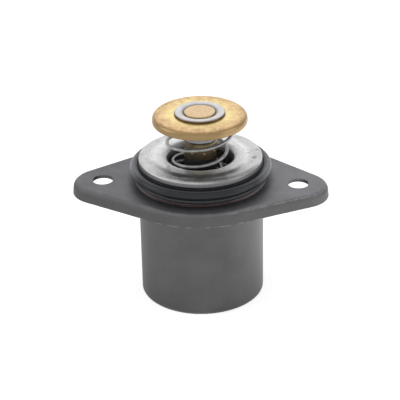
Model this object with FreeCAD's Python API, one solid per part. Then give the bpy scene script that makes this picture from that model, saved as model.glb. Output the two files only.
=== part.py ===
import FreeCAD, Part
import math
import os

# Engine coolant thermostat with a bolted flange, an outlet sleeve, a wax element and a bypass disc.
# Millimetres, +Z up. The origin is the centre of the sleeve's open lower end, which it stands on.
# X runs along the line of the two bolt holes.

Vector = FreeCAD.Vector
UP = Vector(0, 0, 1)

# Clearances and small edges.
fit_gap = 0.05
running_gap = 0.08
rest_gap = 0.05
spring_gap = 0.15
small_edge = 0.3

# Outlet sleeve: a drawn steel tube, necked in at its top end to carry the cover plate,
# with a small upset bead that the flange's collar sits on.
sleeve_radius = 27.0
sleeve_wall = 1.5
sleeve_end_edge = 0.35
flange_height = 53.0
shoulder_height = 7.9
shoulder_bend = 0.9
spigot_height = 1.3
sleeve_bead_width = 0.6
sleeve_bead_height = 1.4

# Mounting flange: pressed sheet with a turned-down skirt. The bolt line lies off the sleeve's centre.
flange_sheet = 1.5
flange_skirt = 5.2
flange_flare = 0.6
flange_inner_bend = 1.0
flange_centre_radius = 36.0
flange_end_radius = 12.5
flange_collar_step = 0.3
bolt_pitch = 84.0
bolt_offset = -4.5
bolt_hole_radius = 4.5

# Seal: one moulded ring with a main bead and a lower lip, over a flat fibre ring.
backing_height = 1.5
backing_width = 1.45
seal_lift = 0.1
lip_height = 1.8
lip_width = 1.85
bead_step = 0.35
bead_height = 3.5
bead_width = 3.5
seal_waist_width = 1.05

# Cover plate: a pressed stainless cap with a falling edge and a low crown round its drawn-down hole.
cover_step = 0.5
cover_sheet = 1.2
cover_seat_gap = 0.2
cover_edge_run = 1.1
cover_edge_drop = 0.47
cover_bend = 0.45
cover_crown_radius = 20.6
cover_crown_height = 0.4
cover_crown_run = 2.0
cover_crown_bend = 1.0
cover_hole_radius = 13.9
cover_lip_depth = 4.0
cover_lip_bend = 3.0

# Main spring, between the valve and the cover plate, round the lip of the hole.
main_wire_radius = 1.3
main_spring_play = 1.5
main_active_turns = 2.5
end_turns = 0.85

# Main valve: a pressed saucer with a flat rubber ring, held by a split ring.
valve_sheet = 1.5
valve_spring_play = 0.8
valve_rim_height = 3.0
valve_inner_bend = 0.7
valve_seal_thickness = 1.2
lock_ring_width = 2.95
lock_ring_thickness = 1.0
lock_ring_gap = 3.0

# Valve seat: a pressed ring held in the sleeve.
seat_depth = 16.0
seat_sheet = 1.5
seat_overlap = 3.5
seat_rim_height = 6.0
seat_inner_bend = 0.3

# Bridge: a strap across the sleeve that holds the foot of the piston.
bridge_width = 11.0
bridge_sheet = 1.5
bridge_drop = 14.0
bridge_foot_play = 0.95
bridge_foot_length = 3.6
bridge_centre_reach = 7.5
bridge_bend = 2.0
socket_wall = 2.45
socket_height = 4.0
socket_depth = 3.0

# Piston and wax element.
piston_radius = 2.5
cup_radius = 7.0
cup_wall = 1.0
cup_rise = 19.0
cup_inner_bend = 0.6
cup_dimples = 8
cup_dimple_round = 1.0
cup_dimple_depth = 0.3
cup_dimple_drop = 4.6
cup_dimple_phase = -26.0
crimp_radius = 11.0
crimp_wall = 0.95
crimp_top = 0.9
crimp_lip = 0.8
crimp_lip_play = 0.55
crimp_foot = 3.6
boot_play = 0.3
boot_wall = 1.8
boot_flange = 1.1
boot_roof = 1.5
boot_depth = 6.0
washer_width = 2.2
washer_thickness = 1.1
guide_shoulder = 1.2
guide_spigot_radius = 8.0
guide_spigot_length = 4.8
guide_nose_wall = 2.9
guide_nose_length = 4.0
lock_groove_depth = 0.8

# Bypass disc, its stem, its stop ring and its conical spring.
stem_radius = 7.9
stem_spigot_radius = 4.0
stem_collar_radius = 7.2
stem_collar_height = 2.4
stem_shoulder = 1.2
stem_head_bend = 0.6
bypass_rise = 30.0
bypass_radius = 20.3
bypass_sheet = 1.5
bypass_rim_height = 3.4
bypass_inner_bend = 0.7
ring_thickness = 1.1
ring_dish_width = 1.7
ring_dish_depth = 0.6
ring_dish_bend = 2.4
ring_width = 4.2
ring_edge = 0.85
cone_wire_radius = 0.75
cone_foot_play = 1.46
cone_top_play = 1.83
cone_active_turns = 2.96
cone_phase = -33.0
cone_side_shift = -0.83

# Sizes that follow from the ones above.
sleeve_bore = sleeve_radius - sleeve_wall
seal_bore = sleeve_radius + fit_gap
shoulder = flange_height + shoulder_height
spigot_top = shoulder + spigot_height
flange_foot = flange_height - flange_skirt
flange_collar_foot = flange_foot + flange_collar_step
cover_radius = sleeve_radius - cover_step
cover_under = spigot_top + cover_seat_gap
cover_top = cover_under + cover_sheet
crown_under = cover_under + cover_crown_height
crown_top = cover_top + cover_crown_height
cover_lip_radius = cover_hole_radius + cover_sheet
main_spring_radius = cover_lip_radius + main_spring_play + main_wire_radius
valve_radius = main_spring_radius + main_wire_radius + valve_spring_play + valve_sheet
seat_bore_radius = valve_radius - seat_overlap
seat_top = flange_height - seat_depth
seat_under = seat_top - seat_sheet
bridge_top = seat_under - bridge_sheet - bridge_drop
socket_top = bridge_top + socket_height
socket_floor = socket_top - socket_depth
valve_seal_foot = seat_top + rest_gap
valve_foot = valve_seal_foot + valve_seal_thickness
valve_top = valve_foot + valve_sheet
crimp_height = flange_height + crimp_top
recess_radius = crimp_radius - crimp_wall
cup_flange_top = crimp_height - crimp_lip
cup_flange_foot = cup_flange_top - cup_wall
cup_top = flange_height + cup_rise
boot_foot = cup_flange_foot - boot_flange
boot_top = cup_top - boot_depth
boot_bore = piston_radius + boot_play
boot_radius = boot_bore + boot_wall
washer_foot = boot_foot - washer_thickness
washer_radius = boot_bore + washer_width
lock_ring_top = valve_foot - fit_gap
lock_groove_radius = guide_spigot_radius - lock_groove_depth
collar_top = cup_top + stem_collar_height
bypass_stop = flange_height + bypass_rise
bypass_top = bypass_stop - rest_gap
bypass_under = bypass_top - bypass_sheet
head_radius = stem_radius - stem_shoulder
head_top = bypass_stop + ring_thickness


def corner_points(before, corner, after, radius):
    """Start, middle and end of the arc that rounds one corner."""
    back = (before - corner).normalize()
    ahead = (after - corner).normalize()
    half = back.getAngle(ahead) / 2
    reach = radius / math.tan(half)
    bisector = (back + ahead).normalize()
    middle = corner + bisector * (radius / math.sin(half) - radius)
    return corner + back * reach, middle, corner + ahead * reach


def rounded_wire(corners):
    """Closed wire in the XZ plane through corners given as (x, z, corner radius)."""
    points = [Vector(x, 0, z) for x, z, _ in corners]
    edges = []
    ends = []
    for index, (_, _, radius) in enumerate(corners):
        corner = points[index]
        if radius <= 0:
            ends.append((corner, corner))
            continue
        before = points[index - 1]
        after = points[(index + 1) % len(points)]
        start, middle, end = corner_points(before, corner, after, radius)
        edges.append(Part.Arc(start, middle, end).toShape())
        ends.append((start, end))
    for index, (_, leave) in enumerate(ends):
        arrive = ends[(index + 1) % len(ends)][0]
        if leave.distanceToPoint(arrive) > 1e-6:
            edges.append(Part.LineSegment(leave, arrive).toShape())
    return Part.Wire(Part.__sortEdges__(edges))


def turned(corners):
    """Solid of revolution round Z from a rounded profile in the XZ plane."""
    face = Part.Face(rounded_wire(corners))
    return face.revolve(Vector(0, 0, 0), UP, 360)


def cylinder(radius, foot, top, x=0.0, y=0.0):
    """Upright cylinder from one height to another."""
    return Part.makeCylinder(radius, top - foot, Vector(x, y, foot), UP)


def make_outlet_sleeve():
    """Drawn tube, open below, with a bead under the flange and its top end necked in as a spigot."""
    spigot_radius = cover_radius - cover_sheet - fit_gap
    spigot_bore = spigot_radius - sleeve_wall
    bead_radius = sleeve_radius + sleeve_bead_width
    bead_top = flange_collar_foot - fit_gap
    bead_foot = bead_top - sleeve_bead_height
    return turned([
        (sleeve_bore, 0, sleeve_end_edge),
        (sleeve_radius, 0, sleeve_end_edge),
        (sleeve_radius, bead_foot, 0),
        (bead_radius, bead_foot, small_edge),
        (bead_radius, bead_top, small_edge),
        (sleeve_radius, bead_top, 0),
        (sleeve_radius, shoulder, shoulder_bend),
        (spigot_radius, shoulder, 0),
        (spigot_radius, spigot_top, sleeve_end_edge),
        (spigot_bore, spigot_top, sleeve_end_edge),
        (spigot_bore, shoulder - sleeve_wall, 0),
        (sleeve_bore, shoulder - sleeve_wall, shoulder_bend),
    ])


def flange_wire(grow, height):
    """Flange outline: two end circles and a centre circle, joined by tangent lines."""
    end_radius = flange_end_radius + grow
    centre_radius = flange_centre_radius + grow
    end_x = bolt_pitch / 2
    spacing = math.hypot(end_x, bolt_offset)
    tilt = math.atan2(bolt_offset, end_x)
    lean = math.acos((centre_radius - end_radius) / spacing)

    def on_circle(x, y, radius, angle):
        return Vector(x + radius * math.cos(angle), y + radius * math.sin(angle), height)

    back = tilt + lean
    front = tilt - lean
    end_back = on_circle(end_x, bolt_offset, end_radius, back)
    end_front = on_circle(end_x, bolt_offset, end_radius, front)
    end_tip = on_circle(end_x, bolt_offset, end_radius, tilt)
    centre_back = on_circle(0, 0, centre_radius, back)
    centre_front = on_circle(0, 0, centre_radius, front)
    top = Vector(0, centre_radius, height)
    bottom = Vector(0, -centre_radius, height)

    def mirrored(point):
        return Vector(-point.x, point.y, point.z)

    edges = [
        Part.Arc(end_front, end_tip, end_back).toShape(),
        Part.LineSegment(end_back, centre_back).toShape(),
        Part.Arc(centre_back, top, mirrored(centre_back)).toShape(),
        Part.LineSegment(mirrored(centre_back), mirrored(end_back)).toShape(),
        Part.Arc(mirrored(end_back), mirrored(end_tip), mirrored(end_front)).toShape(),
        Part.LineSegment(mirrored(end_front), mirrored(centre_front)).toShape(),
        Part.Arc(mirrored(centre_front), bottom, centre_front).toShape(),
        Part.LineSegment(centre_front, end_front).toShape(),
    ]
    return Part.Wire(edges)


def flange_block(inset, foot, top, bend):
    """Tapered block of the flange's outline with a rounded top edge."""
    slope = flange_flare / flange_skirt
    low = flange_wire(slope * (flange_height - foot) - inset, foot)
    high = flange_wire(slope * (flange_height - top) - inset, top)
    block = Part.makeLoft([low, high], True, True)
    rim = [edge for edge in block.Edges if edge.BoundBox.ZMin > top - 0.01]
    return block.makeFillet(bend, rim)


def make_mounting_flange():
    """Pressed pan with a skirt, two bolt holes and a collar round the sleeve."""
    under = flange_height - flange_sheet
    outside = flange_block(0, flange_foot, flange_height, flange_inner_bend + flange_sheet)
    inside = flange_block(flange_sheet, flange_foot, under, flange_inner_bend)
    pan = outside.cut(inside)
    collar_radius = seal_bore + flange_sheet
    collar = turned([
        (seal_bore, flange_collar_foot, small_edge),
        (collar_radius, flange_collar_foot, small_edge),
        (collar_radius, under, 0),
        (seal_bore, under, 0),
    ])
    centre = cylinder(seal_bore, flange_foot, flange_height)
    pan = pan.cut(centre).fuse(collar)
    for side in (-1, 1):
        hole = cylinder(bolt_hole_radius, flange_foot, flange_height, side * bolt_pitch / 2, bolt_offset)
        pan = pan.cut(hole)
    return pan.removeSplitter()


def make_backing_ring():
    """Flat fibre ring that lies on the flange under the rubber."""
    outer = sleeve_radius + backing_width
    top = flange_height + backing_height
    return turned([
        (seal_bore, flange_height, 0),
        (outer, flange_height, small_edge),
        (outer, top, small_edge),
        (seal_bore, top, 0),
    ])


def make_seal_ring():
    """Moulded rubber ring with a small lip below and a round main bead above."""
    lip_radius = sleeve_radius + lip_width
    bead_radius = sleeve_radius + bead_width
    waist_radius = sleeve_radius + seal_waist_width
    foot = flange_height + backing_height + seal_lift
    lip_top = foot + lip_height
    bead_foot = lip_top + bead_step
    bead_top = bead_foot + bead_height
    lip_round = 0.48 * lip_height
    bead_round = 0.49 * bead_height
    return turned([
        (seal_bore, foot, small_edge),
        (lip_radius, foot, lip_round),
        (lip_radius, lip_top, lip_round),
        (waist_radius, lip_top, 0),
        (waist_radius, bead_foot, 0),
        (bead_radius, bead_foot, bead_round),
        (bead_radius, bead_top, bead_round),
        (seal_bore, bead_top, small_edge),
    ])


def make_cover_plate():
    """Pressed cap on the sleeve's spigot, with a crown and a drawn-down lip round its hole."""
    lip_foot = crown_top - cover_lip_depth
    crown_foot_radius = cover_crown_radius + cover_crown_run
    crown_slope = math.atan2(cover_crown_height, cover_crown_run)
    under_shift = cover_sheet * math.tan(crown_slope / 2)
    rim_foot = shoulder + fit_gap
    rim_bore = cover_radius - cover_sheet
    return turned([
        (cover_hole_radius, lip_foot, small_edge),
        (cover_hole_radius, crown_top, cover_lip_bend),
        (cover_crown_radius, crown_top, cover_crown_bend),
        (crown_foot_radius, cover_top, cover_crown_bend),
        (cover_radius - cover_edge_run, cover_top, cover_bend),
        (cover_radius, cover_top - cover_edge_drop, cover_bend),
        (cover_radius, rim_foot, small_edge),
        (rim_bore, rim_foot, small_edge),
        (rim_bore, cover_under, 0),
        (crown_foot_radius - under_shift, cover_under, 0),
        (cover_crown_radius - under_shift, crown_under, 0),
        (cover_lip_radius, crown_under, max(cover_lip_bend - cover_sheet, small_edge)),
        (cover_lip_radius, lip_foot, small_edge),
    ])


def make_valve_seat_ring():
    """Pressed ring in the sleeve, with its rim turned down along the wall."""
    outer = sleeve_bore - fit_gap
    inner = outer - seat_sheet
    return turned([
        (seat_bore_radius, seat_under, small_edge),
        (seat_bore_radius, seat_top, small_edge),
        (outer, seat_top, seat_inner_bend + seat_sheet),
        (outer, seat_top - seat_rim_height, small_edge),
        (inner, seat_top - seat_rim_height, small_edge),
        (inner, seat_under, seat_inner_bend),
    ])


def make_piston_bridge():
    """Strap welded under the seat ring, with a socket for the piston's foot."""
    foot_top = seat_under
    foot_under = foot_top - bridge_sheet
    foot_outer = sleeve_bore - fit_gap - seat_sheet - bridge_foot_play
    foot_inner = foot_outer - bridge_foot_length
    centre_under = bridge_top - bridge_sheet
    run = foot_inner - bridge_centre_reach
    fall = foot_under - centre_under
    shift = bridge_sheet * (math.hypot(run, fall) - fall) / run
    right_side = [
        (foot_outer, foot_under, 0),
        (foot_outer, foot_top, 0),
        (foot_inner - shift, foot_top, bridge_bend + bridge_sheet),
        (bridge_centre_reach - shift, bridge_top, bridge_bend),
    ]
    right_under = [
        (bridge_centre_reach, centre_under, bridge_bend + bridge_sheet),
        (foot_inner, foot_under, bridge_bend),
    ]
    left_side = [(-x, z, radius) for x, z, radius in reversed(right_side)]
    left_under = [(-x, z, radius) for x, z, radius in reversed(right_under)]
    face = Part.Face(rounded_wire(right_side + left_side + left_under + right_under))
    strap = face.extrude(Vector(0, bridge_width, 0))
    strap.translate(Vector(0, -bridge_width / 2, 0))
    bore = piston_radius + fit_gap
    boss_foot = bridge_top - bridge_sheet / 2
    boss = turned([
        (0, boss_foot, 0),
        (bore + socket_wall, boss_foot, 0),
        (bore + socket_wall, socket_top, small_edge),
        (0, socket_top, 0),
    ])
    socket = cylinder(bore, socket_floor, socket_top)
    return strap.fuse(boss).cut(socket).removeSplitter()


def make_piston():
    """Ground steel pin: its foot stands in the bridge, its tip is inside the rubber boot."""
    tip = boot_top - boot_roof - boot_play
    return turned([
        (0, socket_floor, 0),
        (piston_radius, socket_floor, small_edge),
        (piston_radius, tip, piston_radius * 0.6),
        (0, tip, 0),
    ])


def make_element_cup():
    """Drawn brass cup that holds the wax, closed end up, with staking dimples round its wall."""
    bore = cup_radius - cup_wall
    flange_radius = recess_radius - fit_gap
    cup = turned([
        (bore, cup_flange_foot, 0),
        (flange_radius, cup_flange_foot, small_edge),
        (flange_radius, cup_flange_top, small_edge),
        (cup_radius, cup_flange_top, 0),
        (cup_radius, cup_top, cup_inner_bend + cup_wall),
        (0, cup_top, 0),
        (0, cup_top - cup_wall, 0),
        (bore, cup_top - cup_wall, cup_inner_bend),
    ])
    reach = cup_radius + cup_dimple_round - cup_dimple_depth
    for number in range(cup_dimples):
        angle = math.radians(cup_dimple_phase + 360 * number / cup_dimples)
        centre = Vector(reach * math.sin(angle), -reach * math.cos(angle), cup_top - cup_dimple_drop)
        cup = cup.cut(Part.makeSphere(cup_dimple_round, centre))
    return cup


def make_wax_charge():
    """Wax that fills the cup round the rubber boot."""
    outer = cup_radius - cup_wall - fit_gap
    top = cup_top - cup_wall - fit_gap
    bore = boot_radius + fit_gap
    roof = boot_top + fit_gap
    return turned([
        (bore, cup_flange_foot + fit_gap, 0),
        (outer, cup_flange_foot + fit_gap, 0),
        (outer, top, cup_inner_bend),
        (0, top, 0),
        (0, roof, 0),
        (bore, roof, small_edge),
    ])


def make_piston_boot():
    """Rubber sleeve that squeezes the piston, with a flange clamped under the cup."""
    flange_radius = recess_radius - running_gap
    return turned([
        (boot_bore, boot_foot, 0),
        (flange_radius, boot_foot, 0),
        (flange_radius, cup_flange_foot, 0),
        (boot_radius, cup_flange_foot, 0),
        (boot_radius, boot_top, small_edge),
        (0, boot_top, 0),
        (0, boot_top - boot_roof, 0),
        (boot_bore, boot_top - boot_roof, 0),
    ])


def make_backup_washer():
    """Hard washer that keeps the boot out of the piston's bore."""
    outer = washer_radius - fit_gap
    return turned([
        (boot_bore, washer_foot, 0),
        (outer, washer_foot, 0),
        (outer, boot_foot, 0),
        (boot_bore, boot_foot, 0),
    ])


def make_guide_body():
    """Turned brass guide: crimp collar above, valve spigot and nose below, bored for the piston."""
    bore = piston_radius + running_gap
    guide_radius = guide_spigot_radius + guide_shoulder
    nose_radius = bore + guide_nose_wall
    spigot_foot = valve_top - guide_spigot_length
    nose_foot = spigot_foot - guide_nose_length
    collar_foot = flange_height - crimp_foot
    lip_radius = cup_radius + crimp_lip_play
    groove_top = lock_ring_top + fit_gap
    groove_foot = lock_ring_top - lock_ring_thickness - fit_gap
    return turned([
        (bore, nose_foot, small_edge),
        (nose_radius, nose_foot, small_edge),
        (nose_radius, spigot_foot, 0),
        (guide_spigot_radius, spigot_foot, small_edge),
        (guide_spigot_radius, groove_foot, 0),
        (lock_groove_radius, groove_foot, 0),
        (lock_groove_radius, groove_top, 0),
        (guide_spigot_radius, groove_top, 0),
        (guide_spigot_radius, valve_top + fit_gap, 0),
        (guide_radius, valve_top + fit_gap, small_edge),
        (guide_radius, collar_foot, 0),
        (crimp_radius, collar_foot, small_edge),
        (crimp_radius, crimp_height, crimp_lip * 0.9),
        (lip_radius, crimp_height, small_edge),
        (lip_radius, cup_flange_top, 0),
        (recess_radius, cup_flange_top, 0),
        (recess_radius, boot_foot, 0),
        (washer_radius, boot_foot, 0),
        (washer_radius, washer_foot, 0),
        (bore, washer_foot, 0),
    ])


def make_main_valve_disc():
    """Pressed saucer on the guide's spigot, which the main spring pushes down."""
    bore = guide_spigot_radius + fit_gap
    return turned([
        (bore, valve_foot, 0),
        (valve_radius, valve_foot, valve_inner_bend + valve_sheet),
        (valve_radius, valve_top + valve_rim_height, small_edge),
        (valve_radius - valve_sheet, valve_top + valve_rim_height, small_edge),
        (valve_radius - valve_sheet, valve_top, valve_inner_bend),
        (bore, valve_top, 0),
    ])


def make_valve_seal():
    """Flat rubber ring bonded under the valve disc."""
    outer = valve_radius - valve_inner_bend - valve_sheet
    inner = seat_bore_radius - valve_seal_thickness
    return turned([
        (inner, valve_seal_foot, small_edge),
        (outer, valve_seal_foot, small_edge),
        (outer, valve_foot, 0),
        (inner, valve_foot, 0),
    ])


def make_valve_lock_ring():
    """Split ring in the guide's groove, under the valve disc."""
    foot = lock_ring_top - lock_ring_thickness
    bore = lock_groove_radius + fit_gap
    outer = bore + lock_ring_width
    ring = turned([
        (bore, foot, 0),
        (outer, foot, 0),
        (outer, lock_ring_top, 0),
        (bore, lock_ring_top, 0),
    ])
    slot = Part.makeBox(2 * outer, lock_ring_gap, 3 * lock_ring_thickness)
    slot.translate(Vector(0, -lock_ring_gap / 2, foot - lock_ring_thickness))
    return ring.cut(slot)


def coil(foot, top, foot_radius, top_radius, wire_radius, active_turns, phase, shift=0.0):
    """Round wire wound from foot to top, with a flat end turn at each end, shifted along X."""
    low = foot + spring_gap + wire_radius
    high = top - spring_gap - wire_radius
    total = active_turns + 2 * end_turns
    steps_per_turn = 12
    count = round(total * steps_per_turn)
    points = []
    for step in range(count + 1):
        turn = total * step / count
        share = min(max((turn - end_turns) / active_turns, 0), 1)
        radius = foot_radius + (top_radius - foot_radius) * share
        angle = math.radians(phase) + 2 * math.pi * turn
        height = low + (high - low) * share
        points.append(Vector(shift + radius * math.cos(angle), radius * math.sin(angle), height))
    path = Part.BSplineCurve()
    path.interpolate(points)
    heading = path.tangent(path.FirstParameter)[0]
    section = Part.Wire(Part.makeCircle(wire_radius, points[0], heading))
    return Part.Wire(path.toShape()).makePipeShell([section], True, True)


def make_main_spring():
    """Coil between the valve disc and the underside of the cover plate's crown."""
    return coil(valve_top, crown_under, main_spring_radius, main_spring_radius,
                main_wire_radius, main_active_turns, 0)


def make_stem_collar():
    """Steel bush between the cup and the stem's guide."""
    bore = stem_spigot_radius + fit_gap
    return turned([
        (bore, cup_top, 0),
        (stem_collar_radius, cup_top, small_edge),
        (stem_collar_radius, collar_top, small_edge),
        (bore, collar_top, 0),
    ])


def make_bypass_stem():
    """Turned brass stem that guides the bypass disc, with a flat head."""
    return turned([
        (0, cup_top, 0),
        (stem_spigot_radius, cup_top, 0),
        (stem_spigot_radius, collar_top, 0),
        (stem_radius, collar_top, small_edge),
        (stem_radius, bypass_stop, 0),
        (head_radius, bypass_stop, 0),
        (head_radius, head_top, stem_head_bend),
        (0, head_top, 0),
    ])


def make_retaining_ring():
    """Steel ring pressed on the stem's head, dished round it, that stops the disc."""
    bore = head_radius + fit_gap
    outer = head_radius + ring_width
    return turned([
        (bore, bypass_stop, 0),
        (outer, bypass_stop, small_edge / 2),
        (outer, head_top, ring_edge),
        (head_radius + ring_dish_width, head_top, ring_dish_bend),
        (bore, head_top - ring_dish_depth, 0),
    ])


def make_bypass_disc():
    """Pressed brass cap that slides on the stem and closes the bypass port."""
    bore = stem_radius + running_gap
    foot = bypass_top - bypass_rim_height
    return turned([
        (bore, bypass_under, 0),
        (bore, bypass_top, small_edge),
        (bypass_radius, bypass_top, bypass_inner_bend + bypass_sheet),
        (bypass_radius, foot, small_edge),
        (bypass_radius - bypass_sheet, foot, small_edge),
        (bypass_radius - bypass_sheet, bypass_under, bypass_inner_bend),
    ])


def make_bypass_spring():
    """Conical coil from the element's crimp up to the bypass disc, leaning to one side of the cup."""
    foot_radius = cup_radius + cone_foot_play + cone_wire_radius
    top_radius = bypass_radius - bypass_sheet - cone_top_play - cone_wire_radius
    return coil(crimp_height, bypass_under, foot_radius, top_radius,
                cone_wire_radius, cone_active_turns, cone_phase, cone_side_shift)


MAKERS = {
    "mounting_flange": make_mounting_flange,
    "outlet_sleeve": make_outlet_sleeve,
    "backing_ring": make_backing_ring,
    "seal_ring": make_seal_ring,
    "cover_plate": make_cover_plate,
    "valve_seat_ring": make_valve_seat_ring,
    "piston_bridge": make_piston_bridge,
    "piston": make_piston,
    "main_spring": make_main_spring,
    "element_cup": make_element_cup,
    "wax_charge": make_wax_charge,
    "piston_boot": make_piston_boot,
    "backup_washer": make_backup_washer,
    "guide_body": make_guide_body,
    "main_valve_disc": make_main_valve_disc,
    "valve_seal": make_valve_seal,
    "valve_lock_ring": make_valve_lock_ring,
    "stem_collar": make_stem_collar,
    "bypass_stem": make_bypass_stem,
    "retaining_ring": make_retaining_ring,
    "bypass_disc": make_bypass_disc,
    "bypass_spring": make_bypass_spring,
}

os.makedirs("parts", exist_ok=True)
for node, maker in MAKERS.items():
    shape = maker()
    if not shape.isValid() or len(shape.Solids) != 1:
        print("check", node, shape.ShapeType, "solids", len(shape.Solids), "valid", shape.isValid())
    shape.exportStep(f"parts/{node}.step")
    print(f"{node}: {shape.Volume / 1000:.3f} cm3")
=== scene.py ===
import math

import bpy
from mathutils import Euler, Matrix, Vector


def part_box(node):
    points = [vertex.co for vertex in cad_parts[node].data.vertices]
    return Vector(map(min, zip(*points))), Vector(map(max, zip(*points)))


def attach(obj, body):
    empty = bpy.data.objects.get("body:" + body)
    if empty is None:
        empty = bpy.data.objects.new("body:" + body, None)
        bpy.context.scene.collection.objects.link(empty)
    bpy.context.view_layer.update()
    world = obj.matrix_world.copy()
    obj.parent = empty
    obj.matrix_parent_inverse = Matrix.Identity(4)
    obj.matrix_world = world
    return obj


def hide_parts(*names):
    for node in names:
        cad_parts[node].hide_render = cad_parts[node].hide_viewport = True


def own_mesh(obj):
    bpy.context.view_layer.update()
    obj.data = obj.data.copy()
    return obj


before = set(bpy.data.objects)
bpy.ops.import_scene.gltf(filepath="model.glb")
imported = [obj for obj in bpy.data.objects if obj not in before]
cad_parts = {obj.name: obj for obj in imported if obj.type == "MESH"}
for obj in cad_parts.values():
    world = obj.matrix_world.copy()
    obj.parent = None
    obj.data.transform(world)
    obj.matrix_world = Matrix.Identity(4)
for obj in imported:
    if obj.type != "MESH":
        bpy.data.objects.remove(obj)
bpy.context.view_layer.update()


# Outlet sleeve: a plain tube of drawn mild steel, pressed through the flange and necked in at the top.
# Drawing leaves an even dark grey satin skin with soft clouds. The cut foot is a little brighter where it
# rubs, the neck in the gap under the cover is painted dark as shade, and the bore is painted pale to stand
# in for light bouncing in the bore, and is duller than the outside.

def linear(code):
    """Linear colour of an sRGB hex code."""
    levels = [int(code[start:start + 2], 16) / 255 for start in (1, 3, 5)]
    return [v / 12.92 if v <= 0.04045 else ((v + 0.055) / 1.055) ** 2.4 for v in levels] + [1.0]


def add(tree, kind, inputs=None, stops=(), pick=None, **settings):
    """Adds one shader node with its settings, values, links and ramp stops, and returns one output.

    An input is given by its name, or by its number where the node has several of that name.
    """
    node = tree.nodes.new(kind)
    for setting, value in settings.items():
        setattr(node, setting, value)
    for key, value in (inputs or {}).items():
        named = [s for s in node.inputs if s.name == key and s.enabled]
        socket = named[0] if named else node.inputs[key]
        if isinstance(value, bpy.types.NodeSocket):
            tree.links.new(value, socket)
        else:
            socket.default_value = value
    for number, (position, colour) in enumerate(stops):
        elements = node.color_ramp.elements
        stop = elements[number] if number < len(elements) else elements.new(position)
        stop.position = position
        stop.color = colour
    if pick:
        return node.outputs[pick]
    return next((s for s in node.outputs if s.enabled), None)


def new_finish(name):
    """New material, its empty node tree and the place on the object in metres."""
    material = bpy.data.materials.new(name)
    material.use_nodes = True
    material.node_tree.nodes.clear()
    return material, material.node_tree, add(material.node_tree, "ShaderNodeTexCoord", pick="Object")


def per_metre(millimetres):
    """Scale of a pattern whose cells are this wide.

    Real grain, crystals and grinding marks are finer than a picture shows, so theirs are drawn coarser.
    """
    return 1000 / millimetres


def from_axis(tree, place):
    """Distance from the sleeve's axis in metres."""
    flat = add(tree, "ShaderNodeMapping", {"Vector": place, "Scale": (1.0, 1.0, 0.0)})
    return add(tree, "ShaderNodeVectorMath", {"Vector": flat}, pick="Value", operation="LENGTH")


def dress(node, material):
    """Gives a CAD node its finish."""
    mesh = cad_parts[node].data
    mesh.materials.clear()
    mesh.materials.append(material)


def heights(node):
    """Foot and top of a CAD node."""
    return [corner.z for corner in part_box(node)]


COVER_FOOT = heights("cover_plate")[0]
FOOT_RUB_HEIGHTS = (0.0003, 0.0012)
NECK_HEIGHTS = (COVER_FOOT - 0.0015, COVER_FOOT - 0.0010)
SLEEVE_WALL_RADII = (0.0262, 0.0258)

drawn_steel, tree, place = new_finish("drawn_mild_steel")
height = add(tree, "ShaderNodeSeparateXYZ", {"Vector": place}, pick="Z")
reach = from_axis(tree, place)
grain = add(tree, "ShaderNodeTexNoise", {"Vector": place, "Scale": per_metre(1.111), "Detail": 3.0})
cloud = add(tree, "ShaderNodeTexNoise", {"Vector": place, "Scale": per_metre(14.29), "Detail": 4.0})
blotches = add(tree, "ShaderNodeMix", {"Factor": 0.7, "A": grain, "B": cloud})
skin = add(tree, "ShaderNodeValToRGB", {"Fac": blotches}, stops=[
    (0.36, linear("#686868")), (0.64, linear("#727273"))])
rub = add(tree, "ShaderNodeMapRange", {
    "Value": height, "From Min": FOOT_RUB_HEIGHTS[0], "From Max": FOOT_RUB_HEIGHTS[1],
    "To Min": 0.6, "To Max": 0.0})
colour = add(tree, "ShaderNodeMix", {"Factor": rub, "A": skin, "B": linear("#8c8c8c")}, data_type="RGBA")
# Painted shade: the neck in the gap under the cover is painted dark.
neck_shade = add(tree, "ShaderNodeMapRange", {
    "Value": height, "From Min": NECK_HEIGHTS[0], "From Max": NECK_HEIGHTS[1]})
colour = add(tree, "ShaderNodeMix", {"Factor": neck_shade, "A": colour, "B": linear("#2c2c2d")},
             data_type="RGBA")
# Painted light: the bore is painted pale to stand in for light bouncing in it.
bore = add(tree, "ShaderNodeMapRange", {
    "Value": reach, "From Min": SLEEVE_WALL_RADII[0], "From Max": SLEEVE_WALL_RADII[1]})
colour = add(tree, "ShaderNodeMix", {"Factor": bore, "A": colour, "B": linear("#d0d2d6")},
             data_type="RGBA")
shine = add(tree, "ShaderNodeMapRange", {"Value": bore, "To Min": 1.0, "To Max": 0.15})
dullness = add(tree, "ShaderNodeMapRange", {
    "Value": blotches, "From Min": 0.35, "From Max": 0.65, "To Min": 0.38, "To Max": 0.46})
relief = add(tree, "ShaderNodeBump", {"Strength": 0.08, "Distance": 0.00005, "Height": grain})
surface = add(tree, "ShaderNodeBsdfPrincipled", {
    "Base Color": colour, "Metallic": shine, "Roughness": dullness, "Normal": relief})
add(tree, "ShaderNodeOutputMaterial", {"Surface": surface})
dress("outlet_sleeve", drawn_steel)


# Mounting flange: pressed mild steel pan, phosphated. The coating is a fine grey crystal with soft clouds.
# Its top is painted paler than its skirt and painted lighter towards the right as light, and painted shade
# lies dark round the seal's foot. It is rubbed bright in a thin broken line along the skirt's foot, and a few
# short dashes on the right-hand bend are worn spots with a painted glint.

def radius_of(node):
    """Outer radius of a round CAD node."""
    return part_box(node)[1].x


SKIRT_FOOT, FLANGE_TOP = heights("mounting_flange")
SEAL_RADIUS = radius_of("seal_ring")
TOP_BEND_HEIGHTS = (FLANGE_TOP - 0.0010, FLANGE_TOP - 0.0001)
SKIRT_FOOT_HEIGHTS = (SKIRT_FOOT + 0.0001, SKIRT_FOOT + 0.0003)
DASH_HEIGHT = FLANGE_TOP - 0.0006
DASH_HALF_WIDTH = 0.00013
DASHED_FROM = (0.013, 0.016)
SEAL_SHADE_RADII = (SEAL_RADIUS - 0.0017, SEAL_RADIUS + 0.0017)
SIDE_LIGHT_REACH = 0.04

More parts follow.
